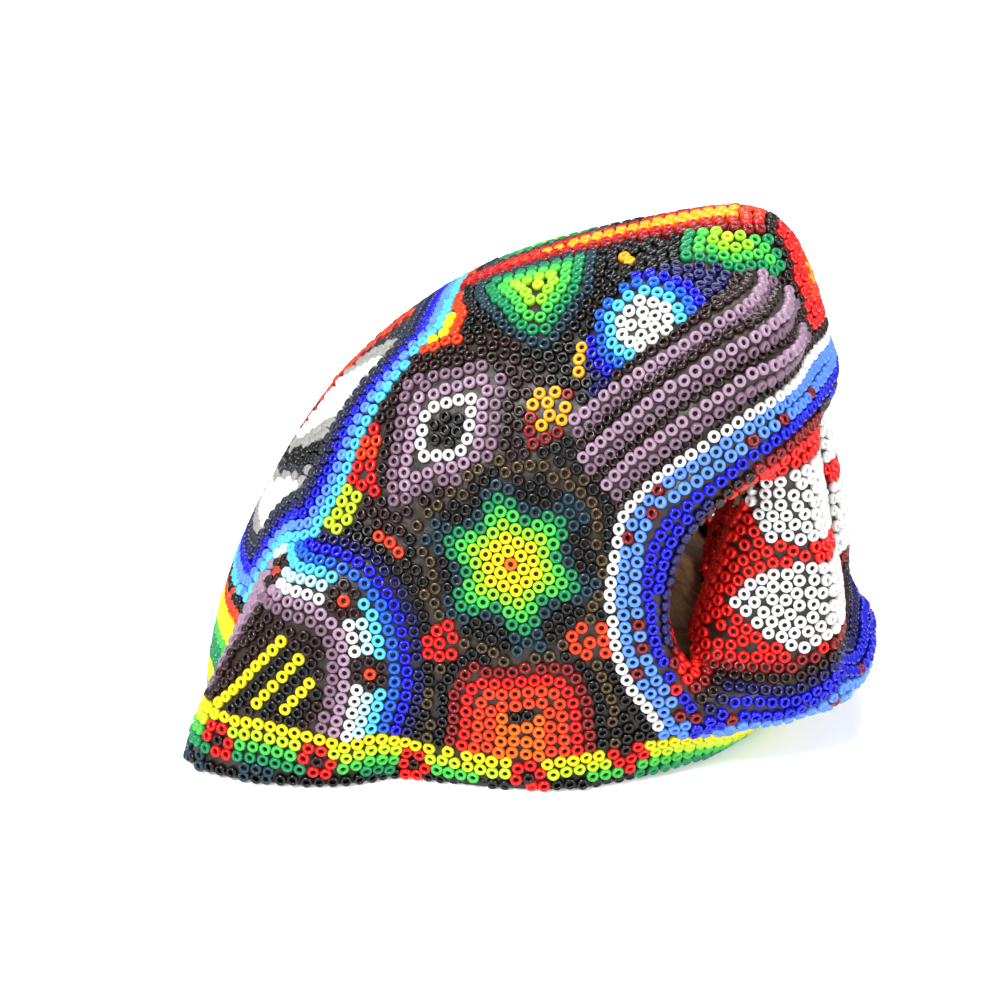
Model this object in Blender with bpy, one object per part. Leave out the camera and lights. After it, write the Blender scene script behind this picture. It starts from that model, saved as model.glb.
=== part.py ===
# Big cat head in the Huichol bead style: a carved wooden head, a coat of wax over it and the glass
# bead groups pressed into the wax. Metres, +X to the snout, +Y to the animal's left, +Z up.
import math

import bmesh
import bpy
from mathutils import Matrix, Vector
from mathutils.bvhtree import BVHTree
from mathutils.geometry import intersect_ray_tri

# Overall size of the carved and waxed head, before the beads.
HEAD_LENGTH = 0.112
HEAD_WIDTH = 0.086
HEAD_HEIGHT = 0.088

# Layers. The bead groups start one gap above the wax, the wood ends one gap below it.
GAP = 0.0003
WAX_THICKNESS = 0.0009
BEAD_THICKNESS = 0.0014

# Raised features.
LIP_RADIUS = 0.0040
EYE_RADIUS = 0.0110
PAD_REACH = 0.0155

# Fineness of the carving.
CARVE_STEP = 0.0018
SKIN_TRIANGLES = 1600

SX = HEAD_LENGTH / 112
SY = HEAD_WIDTH / 86
SZ = HEAD_HEIGHT / 88


def place(x, y, z):
    return Vector((x * SX, y * SY, z * SZ))


def new_object(name, bm):
    bmesh.ops.recalc_face_normals(bm, faces=bm.faces)
    mesh = bpy.data.meshes.new(name)
    bm.to_mesh(mesh)
    bm.free()
    obj = bpy.data.objects.new(name, mesh)
    bpy.context.scene.collection.objects.link(obj)
    return obj


def drop(obj):
    bpy.data.objects.remove(obj, do_unlink=True)


def bake(obj):
    """Turns the object's modifiers into its own mesh."""
    bpy.context.view_layer.update()
    graph = bpy.context.evaluated_depsgraph_get()
    mesh = bpy.data.meshes.new_from_object(obj.evaluated_get(graph))
    obj.modifiers.clear()
    obj.data = mesh
    return obj


def boolean(obj, cutter, operation):
    step = obj.modifiers.new("cut", "BOOLEAN")
    step.operation = operation
    step.solver = "EXACT"
    step.object = cutter
    bake(obj)
    return obj


def loft(name, rings):
    """A closed lump through rings of the same number of points."""
    bm = bmesh.new()
    rows = [[bm.verts.new(p) for p in ring] for ring in rings]
    count = len(rows[0])
    for low, high in zip(rows, rows[1:]):
        for i in range(count):
            j = (i + 1) % count
            bm.faces.new((low[i], low[j], high[j], high[i]))
    bm.faces.new(rows[0][::-1])
    bm.faces.new(rows[-1])
    return new_object(name, bm)


def ellipsoid(name, centre, radii, tilt=0.0, turn=0.0):
    bm = bmesh.new()
    bmesh.ops.create_icosphere(bm, subdivisions=3, radius=1.0)
    for v in bm.verts:
        p = Vector((v.co.x * radii[0], v.co.y * radii[1], v.co.z * radii[2]))
        x = p.x * math.cos(tilt) - p.z * math.sin(tilt)
        z = p.x * math.sin(tilt) + p.z * math.cos(tilt)
        q = Vector((x, p.y, z))
        x = q.x * math.cos(turn) - q.y * math.sin(turn)
        y = q.x * math.sin(turn) + q.y * math.cos(turn)
        v.co = centre + Vector((x, y, q.z))
    return new_object(name, bm)


def smooth_path(points, steps, closed=False):
    """A Catmull-Rom curve through the points."""
    out = []
    count = len(points)
    last = count if closed else count - 1
    for i in range(last):
        a = points[(i - 1) % count] if closed or i > 0 else points[0]
        b = points[i]
        c = points[(i + 1) % count]
        d = points[(i + 2) % count] if closed or i + 2 < count else points[-1]
        for k in range(steps):
            t = k / steps
            out.append(
                0.5
                * (
                    2 * b
                    + (c - a) * t
                    + (2 * a - 5 * b + 4 * c - d) * t * t
                    + (3 * b - a - 3 * c + d) * t * t * t
                )
            )
    if not closed:
        out.append(points[-1].copy())
    return out


def tube(name, path, radii, closed):
    """A round bar along the path; the ends of an open one are capped."""
    rings = []
    count = len(path)
    for i, p in enumerate(path):
        before = path[(i - 1) % count] if closed or i > 0 else path[0]
        after = path[(i + 1) % count] if closed or i + 1 < count else path[-1]
        along = (after - before).normalized()
        side = along.cross(Vector((0.3, 0.2, 1.0))).normalized()
        up = side.cross(along)
        r = radii[i]
        ring = []
        for k in range(10):
            a = 2 * math.pi * k / 10
            ring.append(p + side * (r * math.cos(a)) + up * (r * math.sin(a)))
        rings.append(ring)
    if not closed:
        return loft(name, rings)
    bm = bmesh.new()
    rows = [[bm.verts.new(p) for p in ring] for ring in rings]
    for i in range(count):
        low = rows[i]
        high = rows[(i + 1) % count]
        for k in range(10):
            j = (k + 1) % 10
            bm.faces.new((low[k], low[j], high[j], high[k]))
    return new_object(name, bm)


def prism(name, outline, low, high, axis="Y"):
    """A block with the outline (pairs of x,z or x,y or y,z), between low and high along the axis."""
    bm = bmesh.new()
    ends = []
    for level in (low, high):
        ring = []
        for u, w in outline:
            if axis == "Y":
                p = place(u, level, w)
            elif axis == "Z":
                p = place(u, w, level)
            else:
                p = place(level, u, w)
            ring.append(bm.verts.new(p))
        ends.append(ring)
    count = len(outline)
    for i in range(count):
        j = (i + 1) % count
        bm.faces.new((ends[0][i], ends[0][j], ends[1][j], ends[1][i]))
    bm.faces.new(ends[0][::-1])
    bm.faces.new(ends[1])
    return new_object(name, bm)


def join(name, parts):
    """One mesh holding all the closed lumps, for the remesh to fuse."""
    bm = bmesh.new()
    for part in parts:
        bm.from_mesh(part.data)
    for part in parts:
        drop(part)
    return new_object(name, bm)


def fuse(obj, step, smoothing):
    remesh = obj.modifiers.new("fuse", "REMESH")
    remesh.mode = "VOXEL"
    remesh.voxel_size = step
    remesh.adaptivity = 0.0
    if smoothing:
        soft = obj.modifiers.new("soft", "SMOOTH")
        soft.factor = 0.5
        soft.iterations = smoothing
    bake(obj)
    return obj


# Slices of the block, bottom to top: height, then (x, half width) from the back to the snout.
SLICES = [
    (-7, [(-46, 0), (-45, 20), (-40, 31), (-13, 34), (9, 42), (29, 30), (37, 13), (39, 0)]),
    (0, [(-48, 0), (-47, 20), (-41, 32), (-13, 35.5), (9, 43.5), (31, 32), (42, 15), (45, 0)]),
    (8, [(-48.5, 0), (-47, 20), (-41, 33), (-13, 36), (9, 43), (32, 34), (51, 22), (57, 0)]),
    (16, [(-47.5, 0), (-45, 20), (-39, 33), (-12, 38), (9, 42.5), (32, 35), (54, 24), (60, 0)]),
    (26, [(-44.5, 0), (-41, 20), (-35, 32), (-10, 38), (9, 41.5), (32, 34.5), (53, 23), (59, 0)]),
    (38, [(-39, 0), (-35, 19), (-28, 31), (-7, 36), (9, 39), (32, 34), (50, 22), (58, 0)]),
    (50, [(-31.5, 0), (-28, 18), (-21, 29), (-2, 33), (12, 35.5), (34, 32), (47, 20), (54, 0)]),
    (60, [(-23.5, 0), (-20, 16), (-14, 27), (2, 30), (15, 31.5), (36, 29), (48, 18), (56, 0)]),
    (69, [(-12, 0), (-9, 14), (-5, 22), (6, 24), (18, 25), (36, 23), (48, 15), (55.5, 0)]),
    (76, [(3.5, 0), (4.5, 8), (6, 13), (14, 16), (24, 17), (36, 17), (47, 12), (52, 0)]),
    (82, [(23, 0), (24, 6), (25.5, 10), (29, 11.5), (34, 12.5), (39, 12), (45, 8), (48, 0)]),
    (85.5, [(34, 0), (34, 3), (35, 6), (36, 8), (38, 8.5), (41, 8), (43, 5), (44, 0)]),
]

# Slices of the ear, a flap that leans back and flares at the bottom: height, middle, half length, reach.
EAR = [
    (-7, -30, 15, 41), (0, -29.5, 17.5, 43), (8, -26, 18.5, 43.5), (16, -22.5, 18, 43.5),
    (24, -20.5, 16, 42.5), (32, -19, 12, 40.5), (37, -18, 7, 37.5),
]


def block():
    rings = []
    for z, half in SLICES:
        near = [place(x, -y, z) for x, y in half]
        far = [place(x, y, z) for x, y in half[1:-1]]
        rings.append(near + far[::-1])
    obj = loft("block", rings)
    soft = obj.modifiers.new("soft", "SUBSURF")
    soft.levels = 2
    soft.render_levels = 2
    bake(obj)
    return obj


# The open mouth in side view, open at the front.
MOUTH = [
    (80, 53), (55, 52), (46, 52), (37, 48.5), (31, 42), (28, 33), (29, 24), (33, 18),
    (42, 16.5), (52, 17.5), (60, 20), (80, 22),
]

# Middle of the rolled lip, from the middle of the upper lip round one side to the chin.
LIP = [
    (51.5, 0, 59.5), (49.5, 13, 59.5), (45.5, 25, 57.5), (39, 31, 53.5), (31.5, 34, 47.5), (27, 34.5, 41),
    (25.5, 35, 33.5), (26, 35, 25), (28.5, 34, 18), (33, 31.5, 13.5), (42, 28.5, 13), (51, 23, 12.5),
    (57.5, 13.5, 12), (60, 0, 14),
]

# Slices of the column that the two fangs and the gum are carved on: height, x range, y range.
COLUMN = [
    (12, 33, 57.5, 9, 27), (20, 34.5, 58, 9.5, 27), (30, 37.5, 57.5, 10, 26.5), (38, 40, 55, 10, 25.5),
    (48, 41.5, 53.5, 10, 26), (56, 40, 51.5, 10, 26.5),
]


def ear(side):
    rings = []
    for z, middle, half, reach in EAR:
        ring = []
        for k in range(13):
            a = math.pi * k / 12
            x = middle - half * math.cos(a)
            y = 33 + (reach - 33) * math.sin(a) ** 0.8
            ring.append(place(x, y * side, z))
        ring.append(place(middle + half * 0.7, 22 * side, z))
        ring.append(place(middle - half * 0.5, 22 * side, z))
        rings.append(ring)
    return loft("ear", rings)


def column(side):
    rings = []
    for z, x0, x1, y0, y1 in COLUMN:
        ring = []
        for k in range(12):
            a = 2 * math.pi * (k + 0.5) / 12
            c = math.copysign(abs(math.cos(a)) ** 0.7, math.cos(a))
            s = math.copysign(abs(math.sin(a)) ** 0.7, math.sin(a))
            x = (x0 + x1) / 2 + (x1 - x0) / 2 * c
            y = (y0 + y1) / 2 + (y1 - y0) / 2 * s
            ring.append(place(x, y * side, z))
        rings.append(ring)
    return loft("column", rings)


def carve():
    """The wax surface: block, pads, eyes and ears, with the mouth cut and the lips and fangs set in it."""
    lumps = [block()]
    for side in (-1, 1):
        tilt = math.radians(37)
        turn = math.radians(-14) * side
        radii = (20.5 * SX, PAD_REACH, 12.5 * SZ)
        lumps.append(ellipsoid("pad", place(31.5, 19 * side, 62), radii, tilt, turn))
        lumps.append(ellipsoid("eye", place(27, 16.5 * side, 69), (EYE_RADIUS,) * 3))
        lumps.append(ear(side))
    head = fuse(join("head", lumps), CARVE_STEP, 3)
    mouth = prism("mouth", MOUTH, -70, 70)
    boolean(head, mouth, "DIFFERENCE")
    drop(mouth)
    lumps = [head]
    half = [place(x, -y, z) for x, y, z in LIP]
    loop = half + [place(x, y, z) for x, y, z in LIP[1:-1]][::-1]
    path = smooth_path(loop, 4, closed=True)
    lumps.append(tube("lip", path, [LIP_RADIUS] * len(path), True))
    for side in (-1, 1):
        lumps.append(column(side))
    return fuse(join("skin", lumps), CARVE_STEP, 4)


def coarse(skin):
    """Fewer, larger facets, the same on both sides of the middle plane."""
    triangles = sum(len(face.vertices) - 2 for face in skin.data.polygons)
    step = skin.modifiers.new("coarse", "DECIMATE")
    step.ratio = min(1.0, SKIN_TRIANGLES / triangles)
    step.use_symmetry = True
    step.symmetry_axis = "Y"
    mirror = skin.modifiers.new("mirror", "MIRROR")
    mirror.use_axis = (False, True, False)
    mirror.use_bisect_axis = (False, True, False)
    mirror.use_bisect_flip_axis = (False, True, False)
    mirror.merge_threshold = 0.00005
    bake(skin)
    bm = bmesh.new()
    bm.from_mesh(skin.data)
    bmesh.ops.dissolve_degenerate(bm, edges=bm.edges, dist=0.00005)
    bmesh.ops.triangulate(bm, faces=bm.faces)
    bmesh.ops.recalc_face_normals(bm, faces=bm.faces)
    bm.to_mesh(skin.data)
    bm.free()
    return skin


def pierces(start, end, face):
    """True when the segment goes through the triangle."""
    ray = end - start
    a, b, c = (v.co for v in face.verts)
    hit = intersect_ray_tri(a, b, c, ray, start, True)
    return hit is not None and (hit - start).dot(ray) < ray.length_squared


def moved_out(skin, distance):
    """The skin again, every facet moved the same distance along its own normal."""
    bm = bmesh.new()
    bm.from_mesh(skin.data)
    bm.normal_update()
    moves = []
    for v in bm.verts:
        moves.append(v.normal * (distance * min(v.calc_shell_factor(), 1.35)))
    for v, move in zip(bm.verts, moves):
        v.co += move
    bm.normal_update()
    return bm


def crossings(bm):
    """Corners of the facets that cross, or fold back on, one another."""
    bm.faces.ensure_lookup_table()
    tree = BVHTree.FromBMesh(bm)
    bad = set()
    for i, j in tree.overlap(tree):
        if i >= j:
            continue
        first = bm.faces[i]
        second = bm.faces[j]
        shared = set(first.verts) & set(second.verts)
        if len(shared) == 0:
            crossed = True
        elif len(shared) == 1:
            ends = [v.co for v in first.verts if v not in shared]
            others = [v.co for v in second.verts if v not in shared]
            crossed = pierces(ends[0], ends[1], second) or pierces(others[0], others[1], first)
        else:
            crossed = first.normal.dot(second.normal) < -0.8
        if crossed:
            bad.update(v.index for v in first.verts)
            bad.update(v.index for v in second.verts)
    return bad


def trouble(skin, distances):
    """Corners of the skin where one of its layers crosses itself or the next one."""
    layers = [moved_out(skin, distance) for distance in distances]
    bad = set()
    for bm in layers:
        bad |= crossings(bm)
    trees = [BVHTree.FromBMesh(bm) for bm in layers]
    for k in range(len(layers) - 1):
        for i, j in trees[k].overlap(trees[k + 1]):
            bad.update(v.index for v in layers[k].faces[i].verts)
            bad.update(v.index for v in layers[k].faces[j].verts)
    for bm in layers:
        bm.free()
    return bad


def ease(skin, distances):
    """Softens the skin wherever its layers would run into one another."""
    for _ in range(60):
        bad = trouble(skin, distances)
        if not bad:
            break
        bm = bmesh.new()
        bm.from_mesh(skin.data)
        bm.verts.ensure_lookup_table()
        ring = {e.other_vert(bm.verts[i]).index for i in bad for e in bm.verts[i].link_edges}
        moves = {}
        for i in bad | ring:
            v = bm.verts[i]
            around = [e.other_vert(v).co for e in v.link_edges]
            middle = sum(around, Vector()) / len(around)
            moves[i] = (middle - v.co) * (0.5 if i in bad else 0.2)
        for i, move in moves.items():
            v = bm.verts[i]
            if abs(v.co.y) < 1e-7:
                move.y = 0.0
            v.co += move
        bm.to_mesh(skin.data)
        bm.free()
    return skin


def layer(name, skin, low, high):
    """A hollow coat between two distances from the skin."""
    bm = moved_out(skin, low)
    bmesh.ops.reverse_faces(bm, faces=bm.faces)
    inner = bpy.data.meshes.new("inner")
    bm.to_mesh(inner)
    bm.free()
    bm = moved_out(skin, high)
    bm.from_mesh(inner)
    mesh = bpy.data.meshes.new(name)
    bm.to_mesh(mesh)
    bm.free()
    obj = bpy.data.objects.new(name, mesh)
    bpy.context.scene.collection.objects.link(obj)
    return obj


def copy_of(obj, name):
    twin = bpy.data.objects.new(name, obj.data.copy())
    bpy.context.scene.collection.objects.link(twin)
    return twin


def grown(outline, by):
    """The outline moved outwards by a distance in its own units."""
    area = 0.0
    count = len(outline)
    for i in range(count):
        u0, w0 = outline[i]
        u1, w1 = outline[(i + 1) % count]
        area += u0 * w1 - u1 * w0
    turn = 1.0 if area > 0 else -1.0
    out = []
    for i in range(count):
        u0, w0 = outline[i - 1]
        u1, w1 = outline[i]
        u2, w2 = outline[(i + 1) % count]
        first = Vector((w1 - w0, u0 - u1)).normalized() * turn
        second = Vector((w2 - w1, u1 - u2)).normalized() * turn
        both = first + second
        reach = by / max(0.45, both.dot(first) / both.length) if both.length > 0.01 else by
        step = both.normalized() * reach
        out.append((u1 + step.x, w1 + step.y))
    return out


def biggest(obj):
    """Keeps the largest connected body and drops the slivers left by a cut."""
    bm = bmesh.new()
    bm.from_mesh(obj.data)
    bmesh.ops.remove_doubles(bm, verts=bm.verts, dist=0.000004)
    bmesh.ops.dissolve_degenerate(bm, edges=bm.edges, dist=0.000004)
    seen = set()
    bodies = []
    for start in bm.faces:
        if start in seen:
            continue
        seen.add(start)
        body = [start]
        for face in body:
            for edge in face.edges:
                for other in edge.link_faces:
                    if other not in seen:
                        seen.add(other)
                        body.append(other)
        bodies.append(body)
    bodies.sort(key=lambda body: -sum(face.calc_area() for face in body))
    spare = [face for body in bodies[1:] for face in body]
    bmesh.ops.delete(bm, geom=spare, context="FACES")
    bmesh.ops.triangulate(bm, faces=bm.faces)
    bm.to_mesh(obj.data)
    bm.free()
    return obj


def carve_out(rest, name, outline, low, high, axis="Y"):
    """Takes the part inside the outline out of the rest as its own piece, with a gap round it."""
    block_in = prism("inside", outline, low, high, axis)
    piece = copy_of(rest, name)
    boolean(piece, block_in, "INTERSECT")
    drop(block_in)
    gap = GAP * 1000
    block_out = prism("outside", grown(outline, gap), low - gap, high + gap, axis)
    boolean(rest, block_out, "DIFFERENCE")
    drop(block_out)
    return biggest(piece)


def mirrored(obj, name):
    bm = bmesh.new()
    bm.from_mesh(obj.data)
    for v in bm.verts:
        v.co.y = -v.co.y
    bmesh.ops.reverse_faces(bm, faces=bm.faces)
    mesh = bpy.data.meshes.new(name)
    bm.to_mesh(mesh)
    bm.free()
    twin = bpy.data.objects.new(name, mesh)
    bpy.context.scene.collection.objects.link(twin)
    return twin


# Outlines of the bead groups, in the side view (x, z) unless the name says otherwise.
MOUTH_SIDE = [(24, 53), (48, 57), (43, 44), (38.5, 32), (35.5, 22), (34, 13.5), (22, 12)]
MOUTH_FRONT = [(36, 54), (53, 54), (56, 15.5), (36, 15.5)]
RIM_SIDE = [
    (-80, -9), (-80, 11.5), (-43.5, 10.5), (-32, 11), (-22.5, 9.5), (-18.5, 8), (-14.5, 9.5), (-5.5, 7.2),
    (9, 5.5), (21.5, 7), (30.5, 8.5), (38, 7.5), (46, 5.5), (54, 3), (80, 2), (80, -9),
]
LIP_SIDE = [
    (90, 66.5), (53.8, 66.4), (50, 65.7), (43, 62.9), (34.2, 57), (25.6, 48.7), (22.4, 42.5), (21.9, 33.2),
    (23.2, 23.3), (26.3, 16.3), (29.9, 11), (31, 5), (40, -2), (90, -6),
]
GUM_SIDE = [
    (31.5, 15.5), (37, 18.4), (40, 19), (50.6, 19.5), (56.7, 22), (61, 26), (90, 28), (90, 55.5), (54, 55.5),
    (49.4, 54.5), (45, 53), (41, 50.5), (38, 44), (36, 34), (33, 24),
]
UPPER_FANG_SIDE = [
    (43, 49.5), (49.4, 52), (55.3, 53.3), (80, 53.3), (80, 41), (57.4, 40.5), (51.4, 38), (47, 41.5),
]
LOWER_FANG_SIDE = [
    (40.2, 29), (45.3, 34), (51.4, 35.8), (58.5, 34.6), (80, 34.5), (80, 27), (59.7, 25), (52.5, 21),
    (46.5, 23.5),
]
CROWN_BACK = [
    (-5, 84), (-5, 73), (-12, 70.5), (-17, 68), (-22, 62), (-25, 55), (-28, 48.5), (-30.3, 40.7),
    (-33, 35), (-30, 29), (-27.5, 24), (27.5, 24), (30, 29), (33, 35), (30.3, 40.7), (28, 48.5), (25, 55),
    (22, 62), (17, 68), (12, 70.5), (5, 73), (5, 84),
]
NAPE_BACK = [(-27.5, 23.7), (-30, 16), (-36, 2), (36, 2), (30, 16), (27.5, 23.7)]
BRIDGE_TOP = [
    (-6, -3.5), (4, -4.5), (17, -5.5), (30, -6.5), (43, -7), (43, 7), (30, 6.5), (17, 5.5), (4, 4.5),
    (-6, 3.5),
]
NOSE_FRONT = [
    (-4.5, 95), (-4.5, 85), (-7, 79), (-9.5, 74), (-10.8, 70), (-9, 66.8), (9, 66.8), (10.8, 70), (9.5, 74),
    (7, 79), (4.5, 85), (4.5, 95),
]
EAR_SIDE = [
    (-60, -2), (-52, 8), (-42.5, 11), (-39.5, 17.5), (-37, 24), (-34.5, 29), (-31, 35), (-22, 39),
    (-14.5, 37.5), (-9, 32.5), (-7, 24), (-7, 15.5), (-9.5, 8.5), (-12, -2),
]
EYE_SIDE = [
    (17.5, 66.2), (18, 70.3), (19.8, 75.4), (24.2, 79.2), (30.3, 80.5), (36.4, 79.7), (39.6, 78.5),
    (33.3, 74), (26, 68.6), (19.5, 62.4),
]
PAD_SIDE = [
    (15.5, 58.6), (19.5, 63.2), (26, 69.4), (33.3, 74.8), (39.5, 79), (43.4, 78.5), (49, 73.5), (54, 67.5),
    (52, 64), (44, 60), (36, 54), (28.5, 47), (25.5, 45.5), (21.8, 48.4), (18.1, 52.1),
]
BROW_SIDE = [
    (-4.5, 73), (-4.5, 82), (14, 86), (17, 81), (17, 76.5), (14.2, 72.4), (10.7, 68.4), (6, 69.2), (1.3, 72),
]
SNOUT_SIDE = [
    (30.7, 81.4), (33, 92), (44, 92), (46.8, 83.4), (46.8, 79.7), (43, 79.2), (37, 79.5), (32.7, 80),
]
STAR_SIDE = [
    (3.5, 51), (8.7, 52), (12, 51), (17.5, 49), (19.3, 44.5), (19.6, 40.7), (21, 35.5), (18.8, 30.5),
    (14.5, 25.3), (8.2, 23.7), (3.7, 26), (-1, 26), (-4.5, 31.8), (-4, 35.7), (-6.8, 40), (-5.2, 45),
    (-0.5, 47.4),
]
DIAMOND_SIDE = [
    (-15.2, 61.5), (-5.8, 65), (1.3, 66.8), (5.5, 64.2), (6, 57), (4.5, 53.6), (-3.5, 49), (-12.8, 43.5),
    (-15.4, 48.5), (-15, 55.7),
]
JEWEL_SIDE = [
    (-2.7, 2), (-2.1, 17.4), (0.7, 22), (6.6, 21.2), (12.9, 22.5), (17.9, 21.5), (20, 15.5), (20, 2),
]
CROWN_FLOWER_SIDE = [(-15, 63.6), (-9, 72), (-3.3, 71), (-3.6, 67.5), (-8, 66.4)]
CHEEK_FLOWER_SIDE = [(8.1, 59.6), (9.5, 62.5), (13, 64), (15.8, 63.3), (14.2, 58.5), (13.8, 56.5), (9, 56.5)]

SIDE_GROUPS = (
    ("whisker_beads", PAD_SIDE),
    ("eye_beads", EYE_SIDE),
    ("brow_beads", BROW_SIDE),
    ("snout_beads", SNOUT_SIDE),
    ("star_beads", STAR_SIDE),
    ("diamond_beads", DIAMOND_SIDE),
    ("jewel_beads", JEWEL_SIDE),
    ("crown_flower_beads", CROWN_FLOWER_SIDE),
    ("cheek_flower_beads", CHEEK_FLOWER_SIDE),
)

COLOURS = {
    "wood_head": (0.45, 0.27, 0.13),
    "wax_coat": (0.16, 0.08, 0.03),
    "rim_beads": (0.16, 0.45, 0.10),
    "lip_beads": (0.05, 0.15, 0.65),
    "crown_beads": (0.72, 0.74, 0.78),
    "nape_beads": (0.85, 0.45, 0.05),
    "bridge_beads": (0.85, 0.35, 0.03),
    "nose_tip_beads": (0.80, 0.12, 0.02),
    "upper_fang_beads": (0.92, 0.92, 0.92),
    "lower_fang_beads": (0.92, 0.92, 0.92),
    "gum_beads": (0.75, 0.03, 0.02),
    "ear_beads": (0.10, 0.30, 0.72),
    "whisker_beads": (0.36, 0.20, 0.36),
    "eye_beads": (0.15, 0.45, 0.85),
    "brow_beads": (0.20, 0.60, 0.15),
    "snout_beads": (0.25, 0.65, 0.15),
    "star_beads": (0.45, 0.75, 0.10),
    "diamond_beads": (0.30, 0.16, 0.28),
    "jewel_beads": (0.75, 0.08, 0.02),
    "crown_flower_beads": (0.90, 0.40, 0.02),
    "cheek_flower_beads": (0.85, 0.42, 0.03),
    "field_beads": (0.012, 0.012, 0.014),
}


def trim(coat):
    """Opens a coat under the base and inside the mouth, where the wood stays bare."""
    low = GAP / SZ
    cutters = [
        prism("base", [(-90, -40), (90, -40), (90, low), (-90, low)], -90, 90),
        prism("side", MOUTH_SIDE, -31, 31),
        prism("front", MOUTH_FRONT, -12, 12),
    ]
    for cutter in cutters:
        boolean(coat, cutter, "DIFFERENCE")
        drop(cutter)
    return biggest(coat)


def named(obj, name):
    obj.name = name
    obj.data.name = name
    return obj


def bead_groups(skin):
    """The bead coat cut into its colour groups, each a closed piece with a gap round it."""
    coat = trim(layer("coat", skin, GAP, GAP + BEAD_THICKNESS))
    pieces = [carve_out(coat, "rim_beads", RIM_SIDE, -90, 90)]
    lips = carve_out(coat, "lip_beads", LIP_SIDE, -90, 90)
    gum = carve_out(lips, "gum_beads", GUM_SIDE, -90, -8)
    drop(carve_out(lips, "gum_far", GUM_SIDE, 8, 90))
    pieces.append(biggest(lips))
    pieces.append(carve_out(coat, "ear_beads_right", EAR_SIDE, -90, -18))
    drop(carve_out(coat, "ear_far", EAR_SIDE, 18, 90))
    pieces.append(mirrored(pieces[-1], "ear_beads_left"))
    pieces.append(carve_out(coat, "crown_beads", CROWN_BACK, -90, -6.3, "X"))
    pieces.append(carve_out(coat, "nape_beads", NAPE_BACK, -90, -25, "X"))
    pieces.append(carve_out(coat, "bridge_beads", BRIDGE_TOP, 60, 120, "Z"))
    pieces.append(carve_out(coat, "nose_tip_beads", NOSE_FRONT, 43.3, 90, "X"))
    half = prism("half", [(-90, -40), (90, -40), (90, 120), (-90, 120)], -90, -GAP / SY / 2)
    boolean(coat, half, "INTERSECT")
    drop(half)
    sides = [
        carve_out(gum, "upper_fang_beads", UPPER_FANG_SIDE, -90, 0),
        carve_out(gum, "lower_fang_beads", LOWER_FANG_SIDE, -90, 0),
        biggest(gum),
    ]
    for name, outline in SIDE_GROUPS:
        sides.append(carve_out(coat, name, outline, -90, 0))
    sides.append(named(biggest(coat), "field_beads"))
    for piece in sides:
        name = piece.name
        pieces.append(mirrored(piece, name + "_left"))
        pieces.append(named(piece, name + "_right"))
    return pieces


def paint(obj):
    name = obj.name
    for tail in ("_right", "_left"):
        name = name.removesuffix(tail)
    material = bpy.data.materials.new(obj.name)
    material.use_nodes = True
    shader = material.node_tree.nodes["Principled BSDF"]
    shader.inputs["Base Color"].default_value = (*COLOURS[name], 1.0)
    shader.inputs["Roughness"].default_value = 0.6 if name in ("wood_head", "wax_coat") else 0.2
    obj.data.materials.clear()
    obj.data.materials.append(material)


def centre(pieces):
    """Puts the origin under the middle of the whole head, on the table."""
    xs = [v.co.x for piece in pieces for v in piece.data.vertices]
    middle = (min(xs) + max(xs)) / 2
    for piece in pieces:
        piece.data.transform(Matrix.Translation((-middle, 0, 0)))
        piece.data.update()


def main():
    for obj in list(bpy.data.objects):
        bpy.data.objects.remove(obj, do_unlink=True)
    skin = coarse(carve())
    ease(skin, (-WAX_THICKNESS - GAP, -WAX_THICKNESS, 0.0, GAP, GAP + BEAD_THICKNESS))
    wood = new_object("wood_head", moved_out(skin, -WAX_THICKNESS - GAP))
    base = prism("base", [(-90, -40), (90, -40), (90, 0), (-90, 0)], -90, 90)
    boolean(wood, base, "DIFFERENCE")
    drop(base)
    wax = named(trim(layer("wax_coat", skin, -WAX_THICKNESS, 0.0)), "wax_coat")
    pieces = [biggest(wood), wax] + bead_groups(skin)
    drop(skin)
    for piece in pieces:
        paint(piece)
    centre(pieces)


main()
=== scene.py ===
import math
import random

import bmesh
import bpy
import numpy as np
from mathutils import Matrix, Vector
from mathutils.bvhtree import BVHTree
from mathutils.kdtree import KDTree


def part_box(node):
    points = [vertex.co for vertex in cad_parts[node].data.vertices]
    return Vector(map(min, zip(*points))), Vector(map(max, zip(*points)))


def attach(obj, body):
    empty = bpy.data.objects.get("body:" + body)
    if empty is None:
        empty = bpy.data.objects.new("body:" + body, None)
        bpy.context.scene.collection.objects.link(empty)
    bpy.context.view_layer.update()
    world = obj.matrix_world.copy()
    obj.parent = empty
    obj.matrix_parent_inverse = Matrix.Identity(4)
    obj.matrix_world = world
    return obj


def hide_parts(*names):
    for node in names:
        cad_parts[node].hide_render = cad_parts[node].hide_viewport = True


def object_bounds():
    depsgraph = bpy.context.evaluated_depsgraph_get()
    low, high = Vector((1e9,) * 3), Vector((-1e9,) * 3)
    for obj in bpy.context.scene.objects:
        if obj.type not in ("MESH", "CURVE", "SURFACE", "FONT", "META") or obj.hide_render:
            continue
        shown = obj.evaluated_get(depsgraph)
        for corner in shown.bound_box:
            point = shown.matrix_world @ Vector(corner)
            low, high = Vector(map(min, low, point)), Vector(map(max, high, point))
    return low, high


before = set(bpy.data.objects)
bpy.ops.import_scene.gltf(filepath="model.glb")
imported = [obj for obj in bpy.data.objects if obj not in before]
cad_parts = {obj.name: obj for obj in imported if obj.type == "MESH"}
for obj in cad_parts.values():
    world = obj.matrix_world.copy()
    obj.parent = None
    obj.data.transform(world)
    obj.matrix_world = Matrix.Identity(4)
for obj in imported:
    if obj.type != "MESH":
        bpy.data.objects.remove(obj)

# A carved big cat head, waxed, and covered with glass seed beads that are all set one by one.
# Metres, +X to the snout, -Y to the animal's right, +Z up.

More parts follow.
